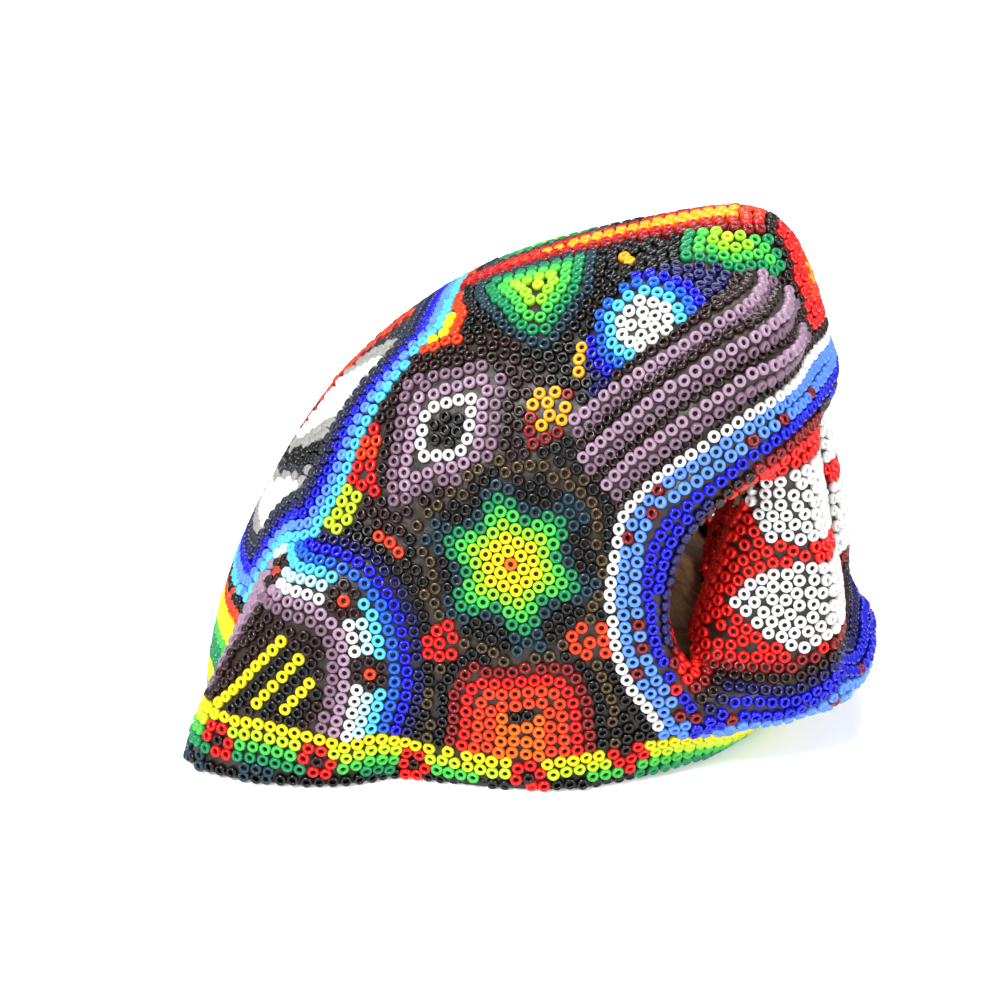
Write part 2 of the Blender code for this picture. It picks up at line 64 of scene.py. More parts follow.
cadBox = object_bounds()   # lowest and highest corner
headLow, headHigh = cadBox
headSize = headHigh - headLow
random.seed(11)

bead = {
    "across": 0.00209,   # outside
    "hole": 0.00076,
    "tall": 0.00150,
    "sides": 12,
    "section": 5,
    "pitch": 0.00208,    # from bead to bead along a row
    "row": 0.00184,      # from row to row
    "rise": 0.00090,     # from the waxed face to the middle of a bead
    "lean": 0.045,       # spread of its lean, radians
    "sizes": (-0.035, 0.03),          # smallest and largest, as a change of size
    "depths": (-0.00008, 0.00005),    # deepest and shallowest in the wax
    "shade": 0.07,       # how much its colour may differ from the next one's
    "table": 0.00005,    # no bead goes lower than this
}

glass = {   # red, green, blue as seen, and lustre
    "white": (0.93, 0.93, 0.92, 0),
    "grey": (0.62, 0.62, 0.60, 0),
    "charcoal": (0.16, 0.18, 0.22, 0),
    "black": (0.012, 0.012, 0.014, 0),
    "bronze": (0.34, 0.28, 0.20, 0.6),
    "darkBrown": (0.15, 0.055, 0.050, 0),
    "darkRed": (0.52, 0.06, 0.06, 0),
    "red": (0.91, 0.075, 0.045, 0),
    "orangeRed": (0.96, 0.24, 0.06, 0),
    "orange": (0.97, 0.42, 0.05, 0),
    "amber": (0.98, 0.68, 0.03, 0),
    "yellow": (0.97, 0.92, 0.05, 0),
    "yellowGreen": (0.80, 0.93, 0.14, 0),
    "lime": (0.62, 0.88, 0.15, 0),
    "green": (0.28, 0.78, 0.30, 0),
    "midGreen": (0.04, 0.55, 0.33, 0),
    "teal": (0.09, 0.22, 0.27, 0),
    "navy": (0.06, 0.055, 0.34, 0),
    "royal": (0.045, 0.06, 0.80, 0),
    "midBlue": (0.08, 0.38, 0.84, 0),
    "lightBlue": (0.36, 0.58, 0.96, 0),
    "cyan": (0.33, 0.80, 0.94, 0),
    "paleCyan": (0.74, 0.93, 0.97, 0),
    "lilac": (0.65, 0.53, 0.62, 0),
    "darkLilac": (0.50, 0.385, 0.465, 0),
}


def linear(value):
    return value / 12.92 if value <= 0.04045 else ((value + 0.055) / 1.055) ** 2.4


def sharePoint(along, up):
    return headLow.x + along * headSize.x, headLow.z + up * headSize.z


# the waxed face that the beads stand on

facing = {
    "outside": 0.3,       # how squarely a face looks away from the wood
    "notch": 0.0505,      # the open notch is above this height
    "notchSide": 0.020,   # and further out than this
    "splits": 2,
    "ironing": 4,
    "base": 0.0025,       # an open edge is the base below this height, and the mouth above it
    "overlap": 4,         # rings of points past a group's own that its rows are measured on
}
print("smoothing the waxed face")


def treeOf(points):
    tree = KDTree(len(points))
    for k, point in enumerate(points):
        tree.insert(point, k)
    tree.balance()
    return tree


def pointsOf(mesh):
    points = np.zeros(len(mesh.vertices) * 3)
    mesh.vertices.foreach_get("co", points)
    return points.reshape(-1, 3)


def mergedCopy(node):
    bm = bmesh.new()
    bm.from_mesh(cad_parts[node].data)
    bmesh.ops.remove_doubles(bm, verts=bm.verts, dist=1e-6)
    return bm


def newPiece(name, bm):
    mesh = bpy.data.meshes.new(name)
    bm.to_mesh(mesh)
    bm.free()
    piece = bpy.data.objects.new(name, mesh)
    bpy.context.scene.collection.objects.link(piece)
    return piece


def settle(piece):
    bpy.context.view_layer.update()
    graph = bpy.context.evaluated_depsgraph_get()
    mesh = bpy.data.meshes.new_from_object(piece.evaluated_get(graph))
    piece.modifiers.clear()
    piece.data = mesh
    return piece


# the upper lip meets the fang, so the notch between them is closed
def closeNotch(bm, side):
    rim = []
    for edge in bm.edges:
        if edge.is_boundary and all(
            v.co.z > facing["notch"] and v.co.y * side > facing["notchSide"] for v in edge.verts
        ):
            rim.append(edge)
    uses = {}
    for edge in rim:
        for v in edge.verts:
            uses[v] = uses.get(v, 0) + 1
    ends = [v for v, count in uses.items() if count == 1]
    if len(ends) != 2:
        print("notch left open")
        return
    rim.append(bm.edges.new(ends))
    made = bmesh.ops.triangle_fill(bm, use_beauty=True, edges=rim)
    for face in made["geom"]:
        if isinstance(face, bmesh.types.BMFace):
            face.normal_update()
            if face.normal.y * side < 0:
                face.normal_flip()


def makeFacing():
    woodBm = mergedCopy("wood_head")
    wood = BVHTree.FromBMesh(woodBm)
    bm = mergedCopy("wax_coat")
    hidden = []
    for face in bm.faces:
        middle = face.calc_center_median()
        near = wood.find_nearest(middle)[0]
        if (middle - near).normalized().dot(face.normal) < facing["outside"]:
            hidden.append(face)
    bmesh.ops.delete(bm, geom=hidden, context="FACES")
    woodBm.free()
    for side in (-1, 1):
        closeNotch(bm, side)
    sheet = newPiece("facing", bm)
    soften = sheet.modifiers.new("soften", "SUBSURF")
    soften.levels = facing["splits"]
    soften.render_levels = facing["splits"]
    settle(sheet)
    bm = bmesh.new()
    bm.from_mesh(sheet.data)
    bmesh.ops.triangulate(bm, faces=bm.faces)
    inside = [v for v in bm.verts if not v.is_boundary]
    for _ in range(facing["ironing"]):
        bmesh.ops.smooth_vert(
            bm, verts=inside, factor=0.5, use_axis_x=True, use_axis_y=True, use_axis_z=True,
        )
    bm.to_mesh(sheet.data)
    bm.free()
    return sheet


facingSheet = makeFacing()
spots = pointsOf(facingSheet.data)
tris = np.zeros(len(facingSheet.data.polygons) * 3, dtype=int)
facingSheet.data.polygons.foreach_get("vertices", tris)
tris = tris.reshape(-1, 3)
print("waxed face:", len(spots), "points,", len(tris), "triangles")


def faceNormals():
    a, b, c = spots[tris[:, 0]], spots[tris[:, 1]], spots[tris[:, 2]]
    cross = np.cross(b - a, c - a)
    out = np.zeros_like(spots)
    for k in range(3):
        np.add.at(out, tris[:, k], cross)
    return out / np.maximum(np.linalg.norm(out, axis=1), 1e-12)[:, None]


def seekTree():
    return BVHTree.FromPolygons([Vector(p) for p in spots], tris.tolist())


normals = faceNormals()
faceTree = seekTree()

# which bead group each spot belongs to

groupNodes = sorted(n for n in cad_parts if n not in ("wood_head", "wax_coat"))


def makeOwners():
    points, faces, owners = [], [], []
    for node in groupNodes:
        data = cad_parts[node].data
        first = len(points)
        points += [v.co.copy() for v in data.vertices]
        for face in data.polygons:
            faces.append([first + i for i in face.vertices])
            owners.append(node)
    return BVHTree.FromPolygons(points, faces), owners


ownerTree, owners = makeOwners()


def ownerAt(point):
    return owners[ownerTree.find_nearest(point)[2]]


spotOwner = np.array([ownerAt(Vector(p)) for p in spots])


def allEdges():
    pairs = np.vstack([tris[:, [0, 1]], tris[:, [1, 2]], tris[:, [2, 0]]])
    pairs = np.sort(pairs, axis=1)
    return np.unique(pairs, axis=0, return_counts=True)


edges, edgeUses = allEdges()


def borderLines():
    found = {}
    for i, j in edges[spotOwner[edges[:, 0]] != spotOwner[edges[:, 1]]]:
        low, high = Vector(spots[i]), Vector(spots[j])
        first, second = spotOwner[i], spotOwner[j]
        for _ in range(6):
            middle = (low + high) / 2
            if ownerAt(middle) == first:
                low = middle
            else:
                high = middle
        found.setdefault(first, {}).setdefault(second, []).append(middle)
        found.setdefault(second, {}).setdefault(first, []).append(middle)
    for i, j in edges[edgeUses == 1]:
        middle = (Vector(spots[i]) + Vector(spots[j])) / 2
        side = "base" if middle.z < facing["base"] else "mouth"
        found.setdefault(spotOwner[i], {}).setdefault(side, []).append(middle)
    return found


borders = borderLines()


def borderOf(node, only=None, without=()):
    points = []
    for other, line in borders[node].items():
        name = other.rsplit("_left", 1)[0].rsplit("_right", 1)[0]
        if (only is None or name in only) and name not in without:
            points += line
    return points


# walking over the face, so that rows keep their distance round the bends


def grown(mask, rings):
    mask = mask.copy()
    for _ in range(rings):
        touched = mask[edges[:, 0]] | mask[edges[:, 1]]
        mask[edges[touched].ravel()] = True
    return mask


# near: measured straight up to here, then over the face, in so many turns at most
walk = {"near": 0.0022, "turns": 400, "settled": 1e-7}


def walkFrom(seeds, mask):
    tree = treeOf(seeds)
    far = np.full(len(spots), np.inf)
    for i in np.flatnonzero(mask):
        gap = tree.find(Vector(spots[i]))[2]
        if gap < walk["near"]:
            far[i] = gap
    part = tris[mask[tris].all(axis=1)]
    turns = []
    for a, b, c in ((0, 1, 2), (1, 2, 0), (2, 0, 1)):
        ia, ib, ic = part[:, a], part[:, b], part[:, c]
        ab = spots[ib] - spots[ia]
        ac = spots[ic] - spots[ia]
        base = np.linalg.norm(ab, axis=1)
        x = (ab * ac).sum(axis=1) / base
        y = np.sqrt(np.maximum((ac * ac).sum(axis=1) - x * x, 1e-18))
        turns.append((ia, ib, ic, base, x, y))
    for _ in range(walk["turns"]):
        before = far.copy()
        for ia, ib, ic, base, x, y in turns:
            u, v = far[ia], far[ib]
            known = np.isfinite(u) & np.isfinite(v)
            u, v = np.where(known, u, 0), np.where(known, v, 0)
            slopeX = np.clip((v - u) / base, -1, 1)
            slopeY = np.sqrt(np.maximum(1 - slopeX * slopeX, 1e-12))
            at = x - slopeX / slopeY * y
            through = (at >= 0) & (at <= base) & known
            straight = u + slopeX * x + slopeY * y
            alongA = far[ia] + np.hypot(x, y)
            alongB = far[ib] + np.hypot(x - base, y)
            best = np.where(through, straight, np.minimum(alongA, alongB))
            np.minimum.at(far, ic, best)
        if np.allclose(before[mask], far[mask], atol=walk["settled"]):
            break
    return far


def levelLines(part, values, level):
    side = values[part] > level
    crossing = part[side.any(axis=1) & ~side.all(axis=1)]
    links = {}
    for corners in crossing.tolist():
        keys = []
        for i, j in zip(corners, corners[1:] + corners[:1]):
            if (values[i] > level) != (values[j] > level):
                keys.append((min(i, j), max(i, j)))
        links.setdefault(keys[0], []).append(keys[1])
        links.setdefault(keys[1], []).append(keys[0])

    def crossPoint(key):
        i, j = key
        t = (level - values[i]) / (values[j] - values[i])
        return spots[i] + t * (spots[j] - spots[i])

    lines = []
    used = set()
    for start in sorted(links, key=lambda key: (len(links[key]), key)):
        if start in used:
            continue
        line = [start]
        used.add(start)
        while True:
            onward = [key for key in links[line[-1]] if key not in used]
            if not onward:
                break
            line.append(onward[0])
            used.add(onward[0])
        closed = len(line) > 3 and line[0] in links[line[-1]]
        if len(line) > 1:
            lines.append((np.array([crossPoint(key) for key in line]), closed))
    return lines


string = {"step": 0.0003, "short": 0.6}   # short: the part of a pitch that still takes a bead


def strungAlong(points, closed, node):
    if closed:
        points = np.vstack([points, points[:1]])
    steps = np.linalg.norm(np.diff(points, axis=0), axis=1)
    length = np.concatenate([[0], np.cumsum(steps)])
    total = length[-1]
    count = max(2, int(total / string["step"]))
    marks = (np.arange(count) + 0.5) * total / count
    samples = np.stack([np.interp(marks, length, points[:, k]) for k in range(3)], axis=1)
    mine = np.array([ownerAt(Vector(p)) == node for p in samples])
    if closed and mine.all():
        beads = max(3, round(total / bead["pitch"]))
        places = (np.arange(beads) + random.random()) * total / beads
        return [Vector([np.interp(s, length, points[:, k]) for k in range(3)]) for s in places]
    if not mine.any():
        return []
    if closed:
        turn = int(np.flatnonzero(~mine)[0])
        mine = np.roll(mine, -turn)
        samples = np.roll(samples, -turn, axis=0)
    found = []
    start = None
    step = total / count
    for k in range(count + 1):
        inside = k < count and mine[k]
        if inside and start is None:
            start = k
        if not inside and start is not None:
            run = (k - start) * step
            beads = round(run / bead["pitch"])
            if beads == 0 and run > string["short"] * bead["pitch"]:
                beads = 1
            for i in range(beads):
                at = start + (i + 0.5) * (k - start) / beads
                found.append(Vector(samples[min(count - 1, int(at))]))
            start = None
    return found


# the whisker pads stand up in ridges, worked before any bead is set

pad = {
    "ridge": 3,          # rows to a ridge
    "height": 0.00075,
    "crest": 2.05,       # the row of the first crest
    "edge": 0.0025,      # the ridges die out this close to the pad's border
}


def raiseRidges():
    lift = np.zeros(len(spots))
    for side in ("left", "right"):
        node = "whisker_beads_" + side
        mask = grown(spotOwner == node, facing["overlap"])
        fromLip = walkFrom(borderOf(node, only=("lip_beads",)), mask)
        fromEdge = walkFrom(borderOf(node), mask)
        inside = (spotOwner == node) & np.isfinite(fromLip)
        rows = fromLip / bead["row"]
        wave = np.cos(2 * math.pi * (rows - pad["crest"]) / pad["ridge"])
        ease = np.clip(fromEdge / pad["edge"], 0, 1)
        lift = np.where(inside, pad["height"] * wave * ease, lift)
    return lift


lift = raiseRidges()
spots += normals * lift[:, None]
normals = faceNormals()
faceTree = seekTree()
print("ridges raised")

# the motifs: where each one's rows start, and the colour of each row

motifs = {
    "rim": {
        "without": ("base",),
        "rows": ("yellow", "yellowGreen", "green", "midGreen", "teal", "teal", "black"),
        "edge": {"only": ("base",), "at": 0.62, "rows": ("black",)},
    },
    "lip": {
        "without": ("mouth", "gum_beads", "upper_fang_beads", "lower_fang_beads", "base"),
        "rows": ("red", "darkBrown", "navy", "royal", "royal"),
        "chinRows": (
            "darkRed", "darkBrown", "navy", "royal", "royal",
            "lightBlue", "lightBlue", "lightBlue", "white",
        ),
        "topRows": ("red", "darkRed", "darkBrown", "navy", "royal", "royal"),
        "edge": {
            "only": ("field_beads", "whisker_beads", "nose_tip_beads", "snout_beads"),
            "at": 0.5,
            "rows": ("white", "lightBlue", "lightBlue", "royal"),
        },
    },
    "crown": {"rows": ("cyan", "lightBlue", "royal", "navy", "charcoal", "grey")},
    "nape": {
        "only": ("crown_beads",),
        "rows": ("black", "orangeRed", "yellow", "yellow", "green", "midGreen"),
    },
    "bridge": {
        "without": ("crown_beads", "nose_tip_beads"),
        "rows": ("darkRed", "red", "amber", "amber"),
    },
    "nose_tip": {"rows": ("darkBrown", "red", "red", "orangeRed", "amber", "yellow")},
    "upper_fang": {"rows": ("white",)},
    "lower_fang": {"rows": ("white",)},
    "gum": {"rows": ("red",)},
    "ear": {
        "only": ("field_beads",),
        "rows": (
            "navy", "royal", "midBlue", "cyan", "paleCyan", "white",
            "lilac", "darkLilac",
        ),
    },
    # on each ridge the darkLilac row, on the lower side of the crest towards the lip, is painted shade:
    # a shaded copy of the lilac row above it
    "whisker": {
        "only": ("lip_beads",),
        "rows": (
            "darkBrown", "darkLilac", "lilac", "darkBrown", "darkLilac", "lilac",
            "darkBrown", "darkLilac", "lilac", "darkBrown", "darkBrown",
        ),
    },
    "eye": {"rows": ("white", "white", "white", "cyan", "midBlue", "royal", "navy", "navy")},
    "brow": {"rows": ("teal", "midGreen", "green", "lime", "yellowGreen")},
    "snout": {"without": ("bridge_beads",), "rows": ("midGreen", "green", "lime", "yellowGreen")},
    "star": {"rows": ("orange", "yellow", "lime", "green", "midGreen", "teal")},
    "diamond": {"rows": ("black", "black", "white", "lilac", "darkLilac", "darkBrown")},
    "jewel": {"without": ("rim_beads",), "rows": ("darkRed", "red", "orangeRed", "orangeRed", "orange")},
    "crown_flower": {"without": ("crown_beads",), "rows": ("orangeRed", "yellow")},
    "cheek_flower": {"rows": ("darkRed", "amber")},
    "field": {"rows": ("black",)},
}

eyeMiddle = {"along": 0.668, "up": 0.812, "side": 0.24}
starWork = {
    "turn": math.radians(-17),
    "bands": (0.5, 2.6, 3.7, 4.8, 5.9, 7.1),   # where each colour ends, in beads from the middle
    "waist": 0.5,     # how deep the bays between its points are
    "cells": 9,       # beads tried on each side of the middle
    "reach": 0.02,
    "above": 0.01,    # dropped on the face from here
    "outside": 9,     # for a bead that is set later, in a gap at its edge
}
earWork = {
    "arches": 6,                   # rows that follow the cheek
    "bands": 2,                    # rows that go right round the inside
    "behind": 2,                   # rows between them and the back edge
    "clear": 0.2,                  # between the bands and the straight rows, in rows
    "straight": 9,                 # straight rows tried on each side of the middle stripe
    "middle": (0.179, 0.208),      # of the middle stripe
    "slope": math.radians(49.5),   # of the stripes
    # each stripe's row, and where its yellow starts and ends
    "stripes": {-2: (-0.0129, 0.0052), 0: (-0.0075, 0.0066), 2: (-0.0050, 0.0034)},
}
diamondWork = {
    "corners": ((0.434, 0.709), (0.367, 0.680), (0.358, 0.586), (0.428, 0.625)),   # along, up
    "inside": 2,      # rows inside the corners' outline
    "outside": 8,
    "overlap": 2,
}


def motifOf(node):
    return node.replace("_left", "").replace("_right", "").replace("_beads", "")


spotTree = treeOf(spots)


def nearestSpot(point):
    return spotTree.find(point)[1]


def eyeSeed(node):
    side = 1 if node.endswith("left") else -1
    x, z = sharePoint(eyeMiddle["along"], eyeMiddle["up"])
    guess = Vector((x, side * eyeMiddle["side"] * headSize.y, z))
    return [faceTree.find_nearest(guess)[0]]


ownField = np.zeros(len(spots))
placed = []   # place, node, row


def partOf(*fields):
    known = np.all([np.isfinite(field) for field in fields], axis=0)
    return tris[known[tris].all(axis=1)]


# one row of beads along a level of a field, where the other field is deep enough
def layRow(part, field, level, node, row, other=None, least=0):
    for points, closed in levelLines(part, field, level):
        for place in strungAlong(points, closed, node):
            if other is None or other[nearestSpot(place)] > least:
                placed.append([place, node, row])


def keepField(node, field):
    mine = spotOwner == node
    ownField[mine] = np.where(np.isfinite(field[mine]), field[mine], 0)
    return np.max(field[mine & np.isfinite(field)])


def layRows(node):
    work = motifs[motifOf(node)]
    mask = grown(spotOwner == node, facing["overlap"])
    count = 0
    if motifOf(node) == "eye":
        seeds = eyeSeed(node)
        placed.append([seeds[0], node, count])
        count = 1
        level = bead["row"]
    else:
        seeds = borderOf(node, work.get("only"), work.get("without", ()))
        level = 0.5 * bead["row"]
    far = walkFrom(seeds, mask)
    deepest = keepField(node, far)
    part = partOf(far)
    while level < deepest:
        layRow(part, far, level, node, count)
        level += bead["row"]
        count += 1


def layStar(node):
    low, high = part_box(node)
    middle = faceTree.find_nearest((low + high) / 2)[0]
    normal = Vector(normals[nearestSpot(middle)])
    across = Vector((0, 0, 1)).cross(normal).normalized()
    upward = normal.cross(across)
    turn, cells = starWork["turn"], starWork["cells"]
    for i in range(-cells, cells + 1):
        for j in range(-cells, cells + 1):
            a, b = i + 0.5 * j, j * math.sqrt(0.75)
            u = (a * math.cos(turn) - b * math.sin(turn)) * bead["pitch"]
            v = (a * math.sin(turn) + b * math.cos(turn)) * bead["pitch"]
            if math.hypot(u, v) > starWork["reach"]:
                continue
            above = middle + across * u + upward * v + normal * starWork["above"]
            hit = faceTree.ray_cast(above, -normal, 3 * starWork["above"])[0]
            if hit is None or ownerAt(hit) != node:
                continue
            angle = math.atan2(b, a)
            reach = math.hypot(a, b) * (1 + starWork["waist"] * (1 - math.cos(6 * angle)) / 2)
            placed.append([hit, node, reach])


giveWay = 0.25   # how far a row may come into the rows that follow the edge, in rows


# rows that follow the edge come first, and the others give way to them
def layWithEdge(node):
    edge = motifs[motifOf(node)]["edge"]
    without = edge["only"] + ("base",)
    if motifOf(node) == "lip":
        without += ("rim_beads",)
    mask = grown(spotOwner == node, facing["overlap"])
    outer = walkFrom(borderOf(node, only=edge["only"]), mask)
    inner = walkFrom(borderOf(node, without=without), mask)
    deepest = keepField(node, inner)
    for count in range(len(edge["rows"])):
        layRow(partOf(outer), outer, (edge["at"] + count) * bead["row"], node, -1 - count)
    clear = edge["at"] + len(edge["rows"]) - giveWay
    level = 0.5 * bead["row"]
    count = 0
    while level < deepest:
        layRow(partOf(inner), inner, level, node, count, outer, clear * bead["row"])
        level += bead["row"]
        count += 1


def stripeAt(place):
    x, z = sharePoint(*earWork["middle"])
    c, s = math.cos(earWork["slope"]), math.sin(earWork["slope"])
    return (place[0] - x) * c + (place[2] - z) * s, (place[0] - x) * s - (place[2] - z) * c


def layEar(node):
    row = bead["row"]
    arches, bands = earWork["arches"], earWork["bands"]
    mask = grown(spotOwner == node, facing["overlap"])
    mine = spotOwner == node
    far = walkFrom(borderOf(node, only=("field_beads",)), mask)
    back = walkFrom(borderOf(node, only=("nape_beads", "crown_beads")), mask)
    ring = np.minimum(far - arches * row, back - earWork["behind"] * row)
    ownField[mine] = np.where(far < arches * row, far, arches * row + np.clip(ring, 0, 3 * row))[mine]
    part = partOf(far, back)
    for count in range(arches):
        layRow(part, far, (count + 0.5) * row, node, count)
    for count in range(-earWork["behind"], bands):
        layRow(part, ring, (count + 0.5) * row, node, arches + max(count, 0), far, arches * row)
    across = np.array([stripeAt(spot)[1] for spot in spots])
    for count in range(-earWork["straight"], earWork["straight"] + 1):
        level = count * row + 1e-7   # never quite on a point
        layRow(part, across, level, node, arches + bands, ring, (bands + earWork["clear"]) * row)


def layDiamond(node):
    corners = [Vector(sharePoint(*corner)) for corner in diamondWork["corners"]]
    mine = spotOwner == node
    far = np.full(len(spots), -1.0)
    for low, high in zip(corners, corners[1:] + corners[:1]):
        run = (high - low).normalized()
        far = np.maximum(far, run.y * (spots[:, 0] - low.x) - run.x * (spots[:, 2] - low.y))
    row, inside, outside = bead["row"], diamondWork["inside"], diamondWork["outside"]
    ownField[mine] = np.clip(far[mine] + (inside + 0.5) * row, 0, (outside + 1) * row)
    part = tris[grown(mine, diamondWork["overlap"])[tris].all(axis=1)]
    for count in range(-inside, outside):
        layRow(part, far, count * row, node, count + inside)


for node in groupNodes:
    if "edge" in motifs[motifOf(node)]:
        layWithEdge(node)
    elif motifOf(node) == "ear":
        layEar(node)
    elif motifOf(node) == "diamond":
        layDiamond(node)
    elif motifOf(node) == "star":
        layStar(node)
    else:
        layRows(node)
print("rows laid:", len(placed), "beads")


def borderTree(*nodes):
    return treeOf([p for node in nodes for line in borders[node].values() for p in line])


edgeTree = treeOf([(Vector(spots[i]) + Vector(spots[j])) / 2 for i, j in edges[edgeUses == 1]])
edgeGap = 0.0006   # from a bead's middle to the edge of the wax
lipOuterEdge = treeOf(borderOf("lip_beads", only=motifs["lip"]["edge"]["only"]))

# beads push one another apart, then gaps are filled; all but the last two in pitches

spacing = {
    "doubled": 0.60,      # two beads this close are one too many
    "wanted": 0.98,
    "crowded": 0.78,
    "gaps": (0.88, 0.80, 0.75),
    "least": 0.74,
    "lastGaps": 0.80,
    "push": 0.45,         # each bead's share of a push
    "facing": 0.2,        # beads on opposite sides of a thin wall don't push
}


def cellOf(point):
    return tuple(int(math.floor(c / bead["pitch"])) for c in point)


def sortIntoCells():
    cells = {}
    for k, (place, _, _) in enumerate(placed):
        cells.setdefault(cellOf(place), []).append(k)
    return cells


around = [(i, j, k) for i in (-1, 0, 1) for j in (-1, 0, 1) for k in (-1, 0, 1)]


def nearBy(cells, point):
    x, y, z = cellOf(point)
    for i, j, k in around:
        yield from cells.get((x + i, y + j, z + k), ())


def normalAt(point):
    _, _, index, _ = faceTree.find_nearest(point)
    return Vector(normals[tris[index]].sum(axis=0)).normalized()


def easeApart(turns, wanted):
    for _ in range(turns):
        cells = sortIntoCells()
        facingWay = [normalAt(place) for place, _, _ in placed]
        moves = [Vector() for _ in placed]
        for k, (place, _, _) in enumerate(placed):
            for other in nearBy(cells, place):
                if other <= k or facingWay[k].dot(facingWay[other]) < spacing["facing"]:
                    continue
                gap = place - placed[other][0]
                if gap.length < wanted:
                    push = gap.normalized() * (wanted - gap.length) * spacing["push"]
                    if gap.length < 1e-6:
                        push = Vector((1e-5, 0, 0))
                    moves[k] += push
                    moves[other] -= push
        for k, move in enumerate(moves):
            if move.length > 1e-6:
                placed[k][0] = faceTree.find_nearest(placed[k][0] + move)[0]


def thinOut(least):
    cells = sortIntoCells()
    gone = set()
    for k, (place, _, _) in enumerate(placed):
        if k in gone:
            continue
        for other in nearBy(cells, place):
            if other > k and other not in gone and (place - placed[other][0]).length < least:
                if normalAt(place).dot(normalAt(placed[other][0])) > 0:
                    gone.add(other)
    placed[:] = [entry for k, entry in enumerate(placed) if k not in gone]


def rowAt(place, node, corners):
    kind = motifOf(node)
    if kind == "star":
        return starWork["outside"]
    if kind == "lip":
        outside = int(lipOuterEdge.find(place)[2] / bead["row"])
        if outside < len(motifs["lip"]["edge"]["rows"]):
            return -1 - outside
    same = [i for i in corners if spotOwner[i] == node]
    if not same:
        return 0
    return int(sum(ownField[i] for i in same) / len(same) / bead["row"])


def placesBetween():
    found = [(Vector(spot), (i,)) for i, spot in enumerate(spots)]
    for corners in list(edges) + list(tris):
        found.append((Vector(spots[corners].mean(axis=0)), tuple(corners)))
    return found


candidates = placesBetween()


# the widest gap is filled first
def fillGaps(least):
    tree = treeOf([place for place, _, _ in placed])
    wide = []
    for k, (place, _) in enumerate(candidates):
        gap = tree.find(place)[2]
        if gap > least and edgeTree.find(place)[2] > edgeGap:
            wide.append((-gap, k))
    wide.sort()
    cells = {}
    added = 0
    for _, k in wide:
        place, corners = candidates[k]
        if any((place - other).length < least for other in nearBy(cells, place)):
            continue
        node = ownerAt(place)
        placed.append([place.copy(), node, rowAt(place, node, corners)])
        cells.setdefault(cellOf(place), []).append(place)
        added += 1
    print("gaps filled:", added)


def clearOfEdges():
    placed[:] = [entry for entry in placed if edgeTree.find(entry[0])[2] > edgeGap]


thinOut(spacing["doubled"] * bead["pitch"])
easeApart(5, spacing["wanted"] * bead["pitch"])
thinOut(spacing["crowded"] * bead["pitch"])
for least in spacing["gaps"]:
    fillGaps(least * bead["pitch"])
    easeApart(8, spacing["wanted"] * bead["pitch"])
thinOut(spacing["least"] * bead["pitch"])
clearOfEdges()
fillGaps(spacing["lastGaps"] * bead["pitch"])
print("beads set:", len(placed))

# each bead's colour, from its motif, its row and what it lies next to

lipFangEdge = treeOf(borderOf("lip_beads", only=("upper_fang_beads",)))
lipGumEdge = treeOf(borderOf("lip_beads", only=("gum_beads", "lower_fang_beads")))
lipMouthEdge = treeOf(borderOf("lip_beads", only=("mouth",)))
lipChin = {"along": 0.78, "up": 0.40}   # the chin is in front of and below this


def lipColour(place, row):
    work = motifs["lip"]
    x, z = sharePoint(lipChin["along"], lipChin["up"])
    toMouth, toGum, toFang = (tree.find(place)[2] for tree in (lipMouthEdge, lipGumEdge, lipFangEdge))
    rows = work["rows"]
    if toGum < toMouth or place.x > x and place.z < z:
        rows = work["chinRows"]
    elif toFang < toMouth:
        rows = work["topRows"]
    return rows[min(int(row), len(rows) - 1)]


def stripeColour(place):
    along, across = stripeAt(place)
    stripe = round(across / bead["row"])
    for middle, (first, last) in earWork["stripes"].items():
        if stripe == middle and first < along < last:
            return "yellow"
        if stripe == middle + 1 and first < along < last:
            return "black"
    return "darkBrown"


# white blocks with grey ends climb the crown on both sides of a red line
crownWork = {
    "line": 0.0021,
    "lineEdge": 0.0040,
    "block": 0.0185,     # from one block to the next
    "skew": 0.055,       # by how much each row's blocks start later
    "steps": ((0.12, "grey"), (0.62, "white"), (0.74, "grey"), (0.82, "charcoal")),   # then black
    "inside": 5,         # the blocks start at this row
}


def crownColour(place, row):
    if abs(place.y) < crownWork["line"]:
        return "orangeRed"
    if abs(place.y) < crownWork["lineEdge"]:
        return "darkRed"
    step = (place.z / crownWork["block"] + crownWork["skew"] * row) % 1.0
    for limit, name in crownWork["steps"]:
        if step < limit:
            return name
    return "black"


starEdge = borderTree("star_beads_left", "star_beads_right")
diamondEdge = borderTree("diamond_beads_left", "diamond_beads_right")
jewelEdge = borderTree("jewel_beads_left", "jewel_beads_right")
gumFangEdge = treeOf(
    borderOf("gum_beads_left", only=("upper_fang_beads",))
    + borderOf("gum_beads_right", only=("upper_fang_beads",))
)
bridgeWork = {"amber": (0.50, 0.77), "dark": 0.81, "middle": 2}   # along, along, row
beside = {   # how close to a motif or a border a bead takes another colour
    "star": 0.0021,
    "jewel": (0.0021, 0.0038),
    "diamond": 0.0048,
    "lip": 0.0021,
    "fang": 0.0015,
}
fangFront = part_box("upper_fang_beads_right")[0].x + 0.004   # the gum is white only behind this
flowerHeart = 1.4 * bead["pitch"]
closeBeads = 60   # looked at round a dot or a flower


